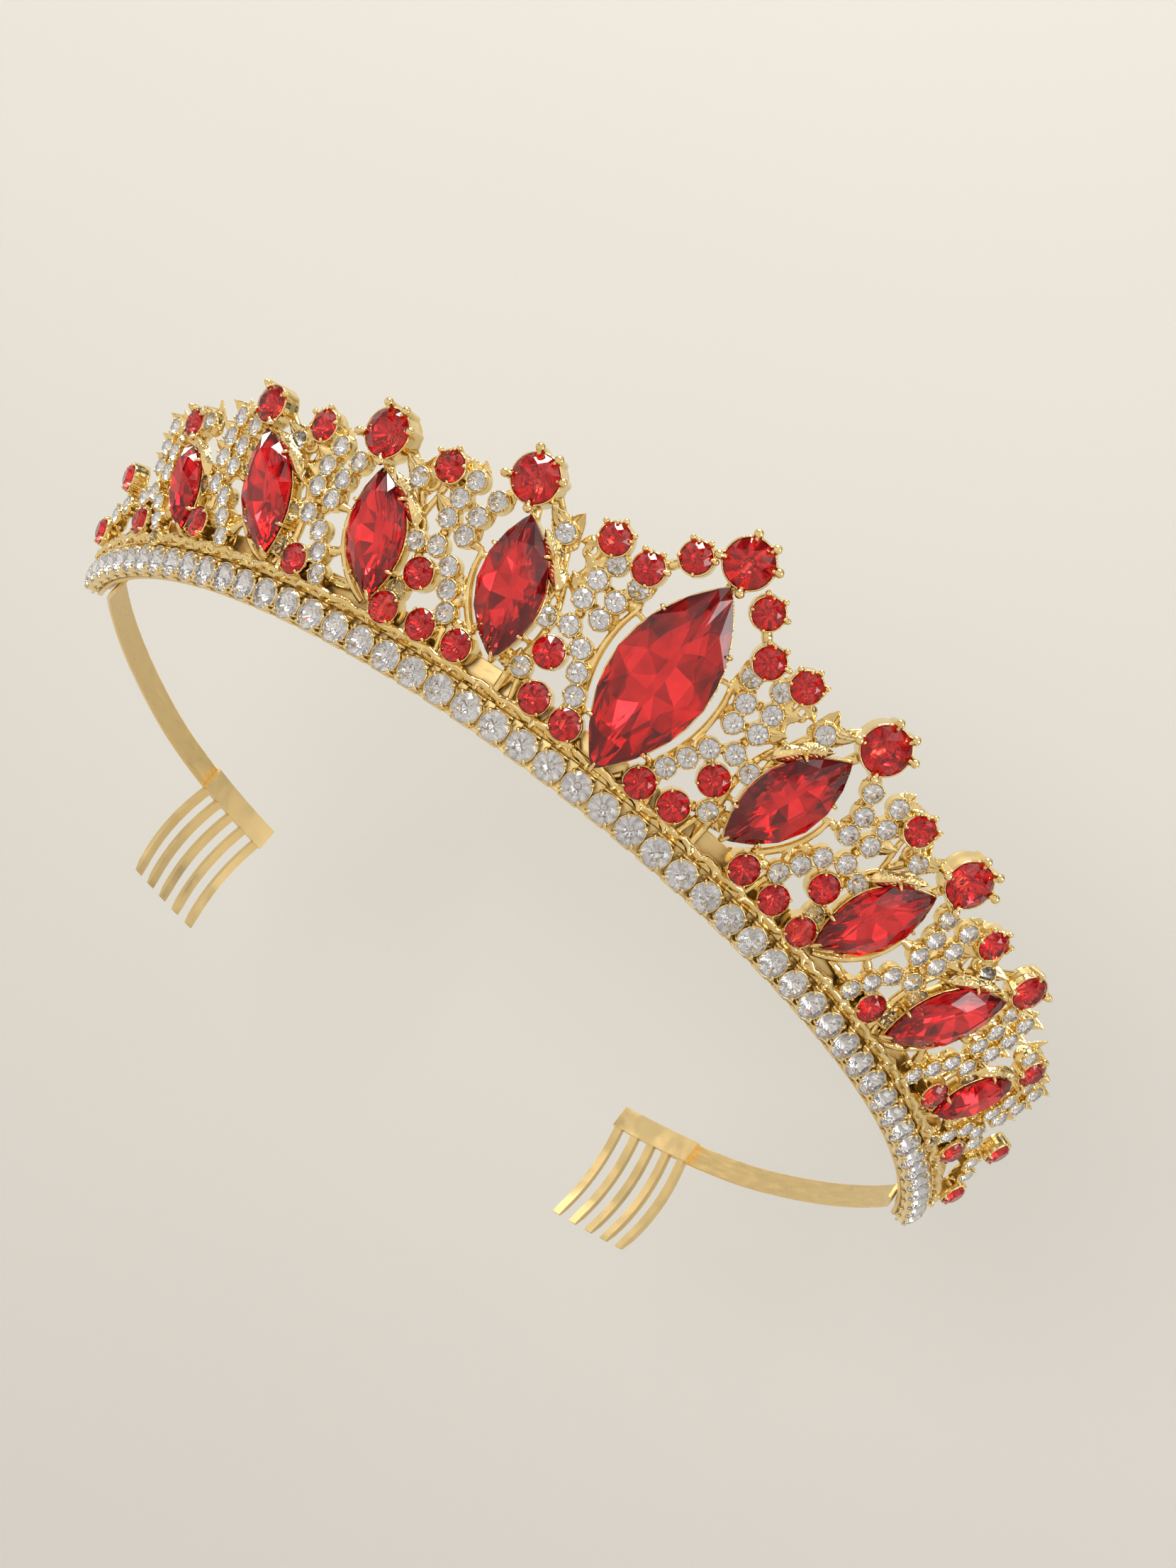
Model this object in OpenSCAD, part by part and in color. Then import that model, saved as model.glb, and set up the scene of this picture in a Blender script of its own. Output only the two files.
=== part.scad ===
// Bridal tiara: a flared openwork front of cast scrolls, leaf sprays and
// stone settings on a rhinestone chain, with a flat headband strip whose two
// arms carry hair combs.
// Frame: origin at the centre of the band's circle on the plane through the
// chain stones, +Z up, the front towards -Y, +X to the wearer's left.
// The front lies on a wall that leans outward. A place on it is given by its
// angle round the band (0 at the front), its height along the wall and its
// distance outward from the wall.

/* [Band] */
// Radius of the band at the chain stones
band_r = 87; // [80:0.5:95]
// Outward lean of the front wall, in degrees
flare = 25; // [18:1:30]
// Angle from the front to the last chain stone
chain_end = 79; // [74:0.5:80]
// Number of chain stones
chain_count = 51; // [49:2:51]
// Diameter of a chain stone
chain_d = 4.4; // [3.6:0.1:4.4]

/* [Stones] */
// Diameter of the small red stones
red_d = 4.65; // [4.2:0.05:4.65]
// Diameter of the small clear stones
clear_d = 2.9; // [2.5:0.1:2.9]
// Thickness of a navette stone above its girdle
navette_crown = 2.0; // [1.5:0.1:2.4]
// Depth of a navette stone below its girdle
navette_depth = 2.2; // [1.8:0.1:2.4]

/* [Metal] */
// Wall of the small stone cups
cup_wall = 0.4; // [0.3:0.05:0.5]
// Thickness of the headband strip and the arms
strip_t = 0.8; // [0.6:0.1:1]
// Width of the arms
arm_w = 4.4; // [3.5:0.1:5]
// Radius of the arms' sweep behind the ears
arm_r = 75.5; // [74:0.5:78]

/* [Combs] */
// Teeth on each comb
teeth = 5; // [3:1:6]
// Length of the comb teeth below the arm
tooth_l = 21; // [15:0.5:24]
// Width of a comb tooth
tooth_w = 1.7; // [1.2:0.1:2]

/* [Hidden] */
$fn = 32;
SIDES = ["left", "right"];

// Navette stones, from the centre outward: place, lean, length and width.
navette_a = [0, 14.8, 28.6, 42.4, 54.8];
navette_h = [19.5, 17.9, 15, 14.3, 12];
navette_lean = [0, 16, 22, 27, 18];
navette_l = [32, 21, 19, 20, 14];
navette_w = [15, 10.5, 10, 10, 7];

// Crest stones above the navettes.
crest_a = [0, 17.6, 31.6, 45.9, 57.4];
crest_h = [39.6, 32.6, 28.6, 26.9, 22.3];
crest_d = [7.2, 7.2, 7.2, 5.6, red_d];

// Sprays between the navettes, and the tail after the last one: the angle of
// each one's stem, and how far it sits below the tallest one.
spray_a = [9, 23, 37, 51, 63, 73];
spray_drop = [-0.4, 0, 3.9, 3.9, 6, 6];
tail = 5;

// Small red stones: two on each arch shoulder, one in each valley, one in the
// heart of each tall spray, and the low row just above the chain.
arch_a = [3.4, 6];
arch_h = [35.6, 30.6];
valley_a = [9.6, 25, 38.8];
valley_h = [31.4, 28.2, 26.2];
low_a = [4.1, 7.8, 16.2, 20.4, 24.6, 36, 51.2, 63.2, 70.4, 77];
low_h = [6, 6.6, 6.4, 6.4, 6, 6.4, 7, 6.4, 14.6, 7];
heart_h = 12.7;
heart_count = 2;

// Heights of the layers in the wall, measured outward from it.
plate_low = -1;
plate_high = -0.2;
clear_seat = plate_high + 0.4 * clear_d + 0.05;
red_seat = plate_high + 0.4 * red_d + 0.05;
navette_seat = plate_high + navette_depth;
rim = 0.12;
play = 0.05;
part_gap = 0.3;
rail_low = 2.9;
rail_high = 3.9;
strip_low = -2.5;
chain_seat = 1.3;
chain_back = -0.6;
chain_step = chain_end / floor(chain_count / 2);
function seat_for(d) = plate_high + 0.4 * d + 0.05;

// Place on the wall as a point and as a flat frame that touches the wall at
// angle a, whose x runs round the band, whose y is the height up the wall and
// whose z points outward.
function wall_r(h, off) = band_r + h * sin(flare) + off * cos(flare);
function wall_point(a, h, off) = [wall_r(h, off) * sin(a), -wall_r(h, off) * cos(a),
    h * cos(flare) - off * sin(flare)];
module on_wall(a, off = 0)
    translate(wall_point(a, 0, off)) rotate([0, 0, a]) rotate([90 + flare, 0, 0]) children();

// A place given as [angle, height], as [x, y] in the flat frame at angle a.
function flat(p, a) = [(p[0] - a) * PI / 180 * wall_r(p[1], 0), p[1]];

// Draws its children on the left or the right side.
module on_side(s) mirror([s == "left" ? 1 : 0, 0, 0]) children();

// Half width of a navette of unit half length, at height t from -1 to 1.
function navette_half(t) = 1 - t * t;

// A place beside navette k in the flat frame at angle a: t runs up its side,
// gap is the distance outward and dir is the side.
function beside(k, t, gap, dir, a) =
    let (x = dir * (navette_w[k] / 2 * navette_half(t) + gap),
        y = t * (navette_l[k] / 2 + gap * 0.6),
        c = cos(navette_lean[k]),
        s = sin(navette_lean[k]))
    flat([navette_a[k], navette_h[k]], a) + [x * c + y * s, y * c - x * s];

// ---- stones ----

module round_stone(d) {
    rotate_extrude()
        polygon([[0, -0.4 * d], [0.04 * d, -0.4 * d], [d / 2, -0.02 * d], [d / 2, 0.02 * d],
            [0.29 * d, 0.18 * d], [0, 0.18 * d]]);
}

// Outline of a navette of length l and width w, as 2 * n points.
function navette_outline(l, w, n) = [for (i = [0:2 * n - 1])
    let (t = i < n ? 2 * i / n - 1 : 3 - 2 * i / n, side = i < n ? 1 : -1)
    [side * w / 2 * navette_half(t), l / 2 * t]];

module at_navette(k, off = 0)
    on_wall(navette_a[k], off) translate([0, navette_h[k]]) rotate(-navette_lean[k]) children();

module navette_stone(k) {
    n = 8;
    count = 2 * n;
    rings = [[0.3, -navette_depth], [1, -0.25], [1, 0.25], [0.82, 0.6 * navette_crown],
        [0.5, navette_crown]];
    outline = navette_outline(navette_l[k], navette_w[k], n);
    points = [for (ring = rings, p = outline) [p.x * ring[0], p.y * (1 + ring[0]) / 2, ring[1]]];
    walls = [for (j = [0:len(rings) - 2], i = [0:count - 1])
        [j * count + i, (j + 1) * count + i, (j + 1) * count + (i + 1) % count,
            j * count + (i + 1) % count]];
    top = (len(rings) - 1) * count;
    color([0.72, 0.02, 0.06]) at_navette(k, navette_seat)
        polyhedron(points, concat([[for (i = [0:count - 1]) i]],
            walls, [[for (i = [count - 1:-1:0]) top + i]]));
}

// ---- outlines of the cast metal, drawn flat ----

// A straight bar between two points.
module bar(p, q, w = 1.1) {
    v = q - p;
    translate(p) rotate(atan2(v.y, v.x)) translate([-w / 2, -w / 2]) square([norm(v) + w, w]);
}

// Bars along a run of points.
module run(points, w = 1.1) for (i = [0:len(points) - 2]) bar(points[i], points[i + 1], w);

module discs(points, d, $fn = 18) for (p = points) translate(p) circle(d = d);

// A pointed leaf with its tip towards lean.
module leaf(p, lean, l = 4.2, w = 2.2)
    translate(p) rotate(-lean) polygon([[-w / 2, 0], [-w * 0.3, l * 0.55], [0, l],
        [w * 0.3, l * 0.55], [w / 2, 0]]);

// Places of the small clear stones of spray j, as [angle, height].
function lower_arc(j) = [for (i = [0:2]) [spray_a[j] - 4 + 0.95 * i, 9.6 + 3 * i - spray_drop[j]]];
function inner_row(j) = [for (i = [0:2])
    [spray_a[j] - 2 - 0.35 * i * (i - 0.2), 20.5 + 3.25 * i - spray_drop[j]]];
function outer_row(j) = [for (i = [0:2])
    [spray_a[j] + 0.2 - 0.25 * i * (i - 0.4), 21.6 + 3.3 * i - spray_drop[j]]];
function rosette(j) = [[spray_a[j] - 0.1, 17.4 - spray_drop[j]],
    [spray_a[j] + 2, 16.6 - spray_drop[j]], [spray_a[j] + 1.5, 9 - spray_drop[j] * 0.4]];
function leaf_cup(j) = [spray_a[j] + 4.4, 24.8 - 0.5 * spray_drop[j] + (j == 0 ? 3.2 : 0)];
function clear_places(j) = j == tail ? [[spray_a[j] - 3, 10], [spray_a[j] + 1, 9.4]]
    : concat(lower_arc(j), inner_row(j), outer_row(j), rosette(j), j < 4 ? [leaf_cup(j)] : []);
function flats(places, a) = [for (p = places) flat(p, a)];

// Places of the red stones of spray j, as [angle, height].
function low_of(j) = [for (i = [0:len(low_a) - 1])
    if (low_a[i] > (j == 0 ? 0 : frame_edge(j - 1)) && low_a[i] < frame_edge(j)) [low_a[i], low_h[i]]];
function frame_edge(j) = j == tail ? 90 : j == 4 ? 68 : navette_a[j + 1] - 1.6;
function heart_of(j) = j < heart_count ? [[spray_a[j], heart_h - spray_drop[j]]] : [];
function valley_of(j) = j < len(valley_a) ? [[valley_a[j], valley_h[j]]] : [];
function arch_of(j) = j == 0 ? [for (i = [0:1]) [arch_a[i], arch_h[i]]] : [];
function red_places(j) = concat(low_of(j), heart_of(j), valley_of(j), arch_of(j));

function crest_place(k) = [crest_a[k], crest_h[k]];

// The scroll wires that frame the navettes on both sides of spray j.
module scrolls(j, a) {
    steps = [-0.85:0.17:0.86];
    run(concat([for (t = steps) beside(j, t, 1.9, 1, a)], [flat(crest_place(j), a)]));
    bar(beside(j, -0.4, 1.9, 1, a), flat(lower_arc(j)[1], a));
    if (j < 4) run(concat([for (t = steps) beside(j + 1, t, 1.7, -1, a)],
        [flat(crest_place(j + 1), a)]));
}

// The stems that hold the stone cups of spray j together.
module stems(j, a) {
    arc = flats(lower_arc(j), a);
    inner = flats(inner_row(j), a);
    outer = flats(outer_row(j), a);
    rose = flats(rosette(j), a);
    stem = flat([spray_a[j], heart_h - spray_drop[j]], a);
    run(concat(arc, inner));
    run(concat([rose[0]], outer));
    run([rose[2], stem, rose[0], rose[1]]);
    run(concat(flats(low_of(j), a), [rose[2]]));
    bar(stem, arc[1]);
    foot(arc[0]);
    foot(rose[2]);
    bar(outer[0], rose[1]);
    if (j < 4) run([outer[1], flat(leaf_cup(j), a), flat(crest_place(j + 1), a)]);
    if (j < 3) run([outer[2], flat(valley_of(j)[0], a), flat(leaf_cup(j), a)]);
    if (j == 4) run([outer[2], flat([low_a[8] - 4, low_h[8] - 1], a)]);
}

// The tail's own stems, sloping down to the end of the chain.
module tail_stems(a) {
    places = flats(concat(low_of(tail), clear_places(tail)), a);
    run([flat([frame_edge(4) + 0.4, low_h[8] - 1], a), places[0], places[2], places[3], places[1]]);
    foot(places[2]);
    foot(places[3]);
}

// A short post from a point down to the rail.
module foot(p) bar([p.x, rail_high + 0.8], p);

// Outline of the plate behind navette k with its neck and crest, in the flat
// frame at angle a.
module setting_outline(k, a) {
    translate(flat([navette_a[k], navette_h[k]], a)) rotate(-navette_lean[k])
        polygon(navette_outline(navette_l[k] - 1, navette_w[k] - 1, 10));
    bar(beside(k, 0.5, -navette_w[k] / 2 * navette_half(0.5), 1, a), flat(crest_place(k), a), 1.6);
    discs([flat(crest_place(k), a)], crest_d[k] + 2 * cup_wall);
}

// The strip of wall that spray j doesn't enter: navette k's axis.
module axis_line(k, a)
    run([[flat([navette_a[k], 0], a).x - 4 * navette_lean[k] / 27, 0],
        beside(k, -0.9, -navette_w[k] / 2 * navette_half(0.9), 1, a),
        beside(k, 0.9, -navette_w[k] / 2 * navette_half(0.9), 1, a), flat(crest_place(k), a),
        flat([crest_a[k], crest_h[k] + 9], a)], 0.8);

// A layer of metal: its children are an outline, drawn flat, that is closed
// and extruded between two depths.
module layer(z0, z1) translate([0, 0, z0]) linear_extrude(z1 - z0) offset(delta = 0.01) children();

// Rings of cups for stones of diameter d.
module rings(points, d) difference() {
    discs(points, d + 2 * cup_wall);
    discs(points, d + 2 * play);
}

module spray(j) {
    a = spray_a[j];
    clear = flats(clear_places(j), a);
    red = flats(red_places(j), a);
    color([0.86, 0.7, 0.38]) on_wall(a) {
        layer(plate_low, plate_high) difference() {
            union() {
                if (j < tail) scrolls(j, a);
                if (j < tail) stems(j, a);
                if (j == tail) tail_stems(a);
                for (p = flats(low_of(j), a)) foot(p);
                discs(clear, clear_d + 2 * cup_wall);
                discs(red, red_d + 2 * cup_wall);
            }
            if (j < tail) for (k = [j, min(j + 1, 4)]) {
                offset(delta = part_gap) setting_outline(k, a);
                axis_line(k, a);
            }
            translate([-30, 0]) square([60, rail_high]);
        }
        layer(plate_high, clear_seat + rim) difference() {
            union() {
                discs(clear, clear_d + 2 * cup_wall);
                if (j < tail) for (p = flats(outer_row(j), a)) leaf(p + [0.9, 0.4], 55);
            }
            discs(clear, clear_d + 2 * play);
            discs(red, red_d + 2 * cup_wall + 0.1);
        }
        layer(plate_high, red_seat + rim) rings(red, red_d);
    }
}

module setting(k) {
    d = crest_d[k];
    a = navette_a[k];
    crest = flat(crest_place(k), a);
    color([0.86, 0.7, 0.38]) on_wall(a) {
        layer(plate_low, plate_high) setting_outline(k, a);
        layer(plate_high, seat_for(d) + rim) rings([crest], d);
        // Claws round the crest stone.
        for (c = [45:90:315]) translate(crest) rotate(c)
            translate([d / 2 + 0.75, 0, plate_high]) {
                cylinder(h = seat_for(d) + 1.2, r = 0.5);
                translate([0, 0, seat_for(d) + 1.2]) sphere(0.7);
            }
    }
}

module crystals(j)
    color([0.9, 0.93, 0.97]) on_wall(spray_a[j], clear_seat)
        for (p = flats(clear_places(j), spray_a[j])) translate(p) round_stone(clear_d);

// ---- groups of red stones ----

module both_sides() {
    children();
    mirror([1, 0, 0]) children();
}

// Red stones at the places of each spray that f picks out, on one side.
module reds_of(j, places) color([0.75, 0.02, 0.07]) on_wall(spray_a[j], red_seat)
    for (p = flats(places, spray_a[j])) translate(p) round_stone(red_d);

module crest_stone(k) color([0.75, 0.02, 0.07]) on_wall(navette_a[k], seat_for(crest_d[k]))
    translate(flat(crest_place(k), navette_a[k])) round_stone(crest_d[k]);

module crest_stones() {
    crest_stone(0);
    both_sides() for (k = [1:4]) crest_stone(k);
}

module arch_stones() both_sides() reds_of(0, arch_of(0));

module valley_stones() both_sides() for (j = [0:len(valley_a) - 1]) reds_of(j, valley_of(j));

module low_stones() for (j = [0:tail]) reds_of(j, concat(low_of(j), heart_of(j)));

// The lowest rail of the casting, just above the chain.
module rail() color([0.86, 0.7, 0.38])
    bent_strip(rail_low, rail_high, plate_low, plate_high + 0.6, chain_end + 1.2);

// ---- chain, strips and arms ----

module at_chain() for (i = [-floor(chain_count / 2):floor(chain_count / 2)])
    on_wall(i * chain_step) children();

module chain_cups() {
    size = chain_d + 0.2;
    color([0.84, 0.68, 0.36]) at_chain() difference() {
        translate([-size / 2, -size / 2, chain_back]) cube([size, size, chain_seat - chain_back + 0.15]);
        translate([0, 0, chain_seat - 0.4 * chain_d]) cylinder(h = chain_d, r = chain_d / 2);
    }
}

module chain_stones()
    color([0.92, 0.95, 0.98]) at_chain() translate([0, 0, chain_seat]) round_stone(chain_d);

// A strip bent round the band, from height h0 to h1 and depth off0 to off1.
module bent_strip(h0, h1, off0, off1, end)
    rotate([0, 0, -90 - end]) rotate_extrude(angle = 2 * end, $fn = 180)
        polygon([for (p = [[h0, off0], [h0, off1], [h1, off1], [h1, off0]])
            [wall_r(p[0], p[1]), wall_point(0, p[0], p[1]).z]]);

module base_strip()
    color([0.84, 0.68, 0.36])
        bent_strip(strip_low, rail_low, chain_back - 0.8, chain_back, chain_end + 1.2);

module headband()
    color([0.8, 0.64, 0.34])
        bent_strip(-1.8, 7, chain_back - 0.8 - strip_t, chain_back - 0.8, chain_end - 1);

// Radius of the arm's outer face at an angle round the band.
arm_start = chain_end - 6;
arm_bend = [chain_end - 2.5, 112];
arm_stop = 135;
arm_high_r = wall_r(-1.8, chain_back - 0.8 - strip_t) - 0.02;
function ease(t) = let (u = min(1, max(0, t))) 1 - (1 - u) * (1 - u);
function arm_face(a) = arm_high_r
    + (arm_r - arm_high_r) * ease((a - arm_bend[0]) / (arm_bend[1] - arm_bend[0]));
function turned(r, a) = [r * sin(a), -r * cos(a)];

module arm() {
    angles = [for (a = [arm_start:2:arm_stop]) a];
    color([0.8, 0.64, 0.34]) translate([0, 0, -arm_w / 2 - 0.4]) linear_extrude(arm_w)
        polygon(concat([for (a = angles) turned(arm_face(a), a)],
            [for (i = [len(angles) - 1:-1:0]) turned(arm_face(angles[i]) - strip_t, angles[i])]));
}

// Outline of a comb tooth seen from its side: it leaves the spine, bows
// outward and comes back in to a round tip.
comb_t = 1.1;
comb_r = arm_r - strip_t;
comb_low = -arm_w / 2 - 0.4;
comb_a0 = 129;
comb_a1 = 144;
function tooth_bow(s) = 8 * s * (1 - s);
function tooth_side(side) = [for (s = [0:0.1:1])
    let (tip = s > 0.9 ? 0.5 : 1) [comb_r - comb_t / 2 + tooth_bow(s) + side * comb_t / 2 * tip,
        comb_low + 0.5 - s * tooth_l]];

module comb() {
    step = (comb_a1 - comb_a0 - 2) / (teeth - 1);
    outline = concat(tooth_side(1), [for (i = [10:-1:0]) tooth_side(-1)[i]]);
    color([0.78, 0.6, 0.28]) union() {
        rotate([0, 0, comb_a0 - 90]) rotate_extrude(angle = comb_a1 - comb_a0, $fn = 180)
            translate([comb_r - comb_t, comb_low]) square([comb_t, arm_w]);
        for (i = [0:teeth - 1]) rotate([0, 0, comb_a0 + 1 + i * step - 90])
            rotate([90, 0, 0]) translate([0, 0, -tooth_w / 2]) linear_extrude(tooth_w)
                polygon(outline);
    }
}

// ---- assembly ----

navette_stone(0);  // centre_navette
setting(0);  // centre_setting
for (s = SIDES) {
    for (k = [1:4]) {
        on_side(s) navette_stone(k);
        on_side(s) setting(k);
    }
    for (j = [0:tail]) {
        on_side(s) spray(j);
        on_side(s) crystals(j);
    }
    on_side(s) low_stones();
    on_side(s) arm();
    on_side(s) comb();
}
crest_stones();
arch_stones();
valley_stones();
chain_cups();
chain_stones();
rail();
base_strip();
headband();
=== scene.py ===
"""Looks of the bridal tiara: faceted stones, melted castings, cup chain, strips and combs."""

import math
import random

import bpy
import bmesh
import numpy as np
from mathutils import Matrix, Vector

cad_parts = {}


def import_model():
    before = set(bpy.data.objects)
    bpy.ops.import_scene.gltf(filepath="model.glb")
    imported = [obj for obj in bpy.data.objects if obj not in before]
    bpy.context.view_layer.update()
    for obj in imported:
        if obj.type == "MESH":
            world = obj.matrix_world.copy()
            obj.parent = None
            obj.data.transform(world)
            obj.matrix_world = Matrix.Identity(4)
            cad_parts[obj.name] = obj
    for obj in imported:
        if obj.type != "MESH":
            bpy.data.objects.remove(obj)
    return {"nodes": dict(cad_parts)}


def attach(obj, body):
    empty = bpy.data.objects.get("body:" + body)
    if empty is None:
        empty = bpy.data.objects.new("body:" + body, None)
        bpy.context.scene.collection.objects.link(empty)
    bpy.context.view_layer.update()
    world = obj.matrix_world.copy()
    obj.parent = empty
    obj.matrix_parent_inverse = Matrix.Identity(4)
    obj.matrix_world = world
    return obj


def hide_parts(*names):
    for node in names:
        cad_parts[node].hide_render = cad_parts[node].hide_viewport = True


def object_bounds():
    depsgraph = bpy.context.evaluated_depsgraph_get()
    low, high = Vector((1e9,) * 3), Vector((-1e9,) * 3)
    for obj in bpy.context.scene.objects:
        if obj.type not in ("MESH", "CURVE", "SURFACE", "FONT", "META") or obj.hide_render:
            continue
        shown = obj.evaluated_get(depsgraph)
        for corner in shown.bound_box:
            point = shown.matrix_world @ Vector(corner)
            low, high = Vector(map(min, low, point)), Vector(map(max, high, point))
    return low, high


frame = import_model()
cad_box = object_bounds()
random.seed(7)

MM = 0.001
SIDES = ("left", "right")
SPRAYS = range(6)

# Sizes in millimetres: a navette's height above its girdle and a casting's plate are the CAD's.
NAVETTE_CROWN = 2.0
PLATE = 0.8
VOXEL = 0.15
TURN = 2 * math.pi

# Numbers of the last spray on a side, which stands alone, and of a side's navettes.
TAIL = 5
NAVETTES = range(1, 5)


# ---------------------------------------------------------------- places

class Seat:
    """A place on the tiara: x runs round the band, y up the wall and z outward, in mm."""

    def __init__(self, origin, up, out, size=0.0):
        self.o = np.asarray(origin, float)
        self.z = unit(out)
        self.y = unit(up - np.dot(up, self.z) * self.z)
        self.x = np.cross(self.y, self.z)
        self.size = size

    def at(self, x, y, z=0.0):
        return self.o + self.x * x + self.y * y + self.z * z

    def all(self, points):
        p = np.asarray(points, float)
        return self.o + p @ np.array([self.x, self.y, self.z])


def unit(v):
    v = np.asarray(v, float)
    return v / np.linalg.norm(v)


def outward(p):
    """Level direction from the band's axis to a point."""
    return unit([p[0], p[1], 0.0])


def islands(node):
    """The corner points, in mm, of each separate solid of a CAD node."""
    bm = bmesh.new()
    bm.from_mesh(frame["nodes"][node].data)
    bmesh.ops.remove_doubles(bm, verts=bm.verts, dist=1e-6)
    left = set(bm.verts)
    found = []
    while left:
        stack = [left.pop()]
        island = []
        while stack:
            v = stack.pop()
            island.append(v.co[:])
            for e in v.link_edges:
                w = e.other_vert(v)
                if w in left:
                    left.discard(w)
                    stack.append(w)
        found.append(np.array(island) / MM)
    bm.free()
    return sorted(found, key=lambda p: (round(p[:, 2].mean(), 2), round(p[:, 0].mean(), 2)))


def stone_seats(node):
    """Seats at the girdles of a node's round stones, with their diameters."""
    seats = []
    for p in islands(node):
        far = np.linalg.norm(p - p.mean(0), axis=1)
        ring = p[far > 0.93 * far.max()]
        centre = ring.mean(0)
        normal = np.linalg.svd(ring - centre)[2][2]
        normal *= math.copysign(1, normal @ outward(centre))
        spread = ring - centre
        spread -= np.outer(spread @ normal, normal)
        diameter = 2 * np.linalg.norm(spread, axis=1).mean()
        seats.append(Seat(centre, np.array([0, 0, 1.0]), normal, diameter))
    return seats


def navette_seat(node):
    """Seat at the girdle of a navette stone, with its (length, width)."""
    p = islands(node)[0]
    axes = np.linalg.svd(p - p.mean(0))[2]
    up, side, out = axes
    out = out * math.copysign(1, out @ outward(p.mean(0)))
    up = up * math.copysign(1, up[2])
    places = p @ np.array([up, side, out]).T
    low, high = places.min(0), places.max(0)
    mid = (low + high) / 2
    mid[2] = high[2] - NAVETTE_CROWN
    origin = up * mid[0] + side * mid[1] + out * mid[2]
    return Seat(origin, up, out, (high - low)[:2])


# ---------------------------------------------------------------- meshes

class Builder:
    """Collects faces, in mm, and makes one object of them."""

    def __init__(self):
        self.points, self.faces, self.slots, self.tones = [], [], [], []

    def add(self, points, faces, slot=0, tones=None):
        base = len(self.points)
        self.points += [tuple(p) for p in points]
        self.faces += [tuple(base + i for i in f) for f in faces]
        self.slots += [slot] * len(faces)
        self.tones += tones or [0.5] * len(faces)

    def make(self, name, materials, smooth=False):
        mesh = bpy.data.meshes.new(name)
        mesh.from_pydata([Vector(p) * MM for p in self.points], [], self.faces)
        bm = bmesh.new()
        bm.from_mesh(mesh)
        for face, slot in zip(bm.faces, self.slots):
            face.material_index = slot
            face.smooth = smooth
        bmesh.ops.recalc_face_normals(bm, faces=bm.faces)
        bm.to_mesh(mesh)
        bm.free()
        # Each face's painted light and shade value, stored as the "tone" attribute that the foils read
        mesh.attributes.new("tone", "FLOAT", "FACE").data.foreach_set("value", self.tones)
        for m in materials:
            mesh.materials.append(m)
        piece = bpy.data.objects.new(name, mesh)
        bpy.context.scene.collection.objects.link(piece)
        return piece


def loft(builder, rings):
    """Skins a run of rings with the same number of points, and caps both ends."""
    n = len(rings[0])
    points = [p for ring in rings for p in ring]
    faces = []
    for j in range(len(rings) - 1):
        for i in range(n):
            k = (i + 1) % n
            faces.append((j * n + i, j * n + k, (j + 1) * n + k, (j + 1) * n + i))
    faces.append(tuple(reversed(range(n))))
    faces.append(tuple(range((len(rings) - 1) * n, len(rings) * n)))
    builder.add(points, faces)


def ball(builder, centre, r, n=8):
    rings = []
    for j in range(1, 6):
        a = math.pi * j / 6
        rings.append([centre + r * np.array([math.sin(a) * math.cos(TURN * i / n),
                                             math.sin(a) * math.sin(TURN * i / n), math.cos(a)])
                      for i in range(n)])
    loft(builder, rings)


def smooth_path(points, steps=4):
    """Catmull-Rom curve through the points."""
    p = [np.asarray(q, float) for q in points]
    p = [2 * p[0] - p[1]] + p + [2 * p[-1] - p[-2]]
    out = []
    for i in range(1, len(p) - 2):
        for s in range(steps):
            t = s / steps
            out.append(0.5 * (2 * p[i] + (p[i + 1] - p[i - 1]) * t
                              + (2 * p[i - 1] - 5 * p[i] + 4 * p[i + 1] - p[i + 2]) * t * t
                              + (3 * p[i] - p[i - 1] - 3 * p[i + 1] + p[i + 2]) * t ** 3))
    return out + [p[-2]]


def tube(builder, points, radius, n=8, steps=4):
    """A round wire along a smooth curve; radius is a number or a list, one for each end or point."""
    path = smooth_path(points, steps) if len(points) > 2 else [np.asarray(q, float) for q in points]
    radii = np.interp(np.linspace(0, 1, len(path)), np.linspace(0, 1, max(2, np.size(radius))),
                      np.ones(2) * radius if np.size(radius) == 1 else radius)
    side = None
    rings = []
    for i, p in enumerate(path):
        along = unit(path[min(i + 1, len(path) - 1)] - path[max(i - 1, 0)])
        if side is None:
            side = unit(np.cross(along, [0.31, 0.52, 0.8]))
        side = unit(side - along * (side @ along))
        other = np.cross(along, side)
        rings.append([p + radii[i] * (side * math.cos(TURN * k / n) + other * math.sin(TURN * k / n))
                      for k in range(n)])
    loft(builder, rings)


def lathe(builder, seat, profile, n=28):
    """A closed ring turned from an outline of (radius, z) points about the seat's z."""
    m = len(profile)
    points = [seat.at(r * math.cos(TURN * i / n), r * math.sin(TURN * i / n), z)
              for i in range(n) for r, z in profile]
    faces = [(i * m + j, ((i + 1) % n) * m + j, ((i + 1) % n) * m + (j + 1) % m, i * m + (j + 1) % m)
             for i in range(n) for j in range(m)]
    builder.add(points, faces)


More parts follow.
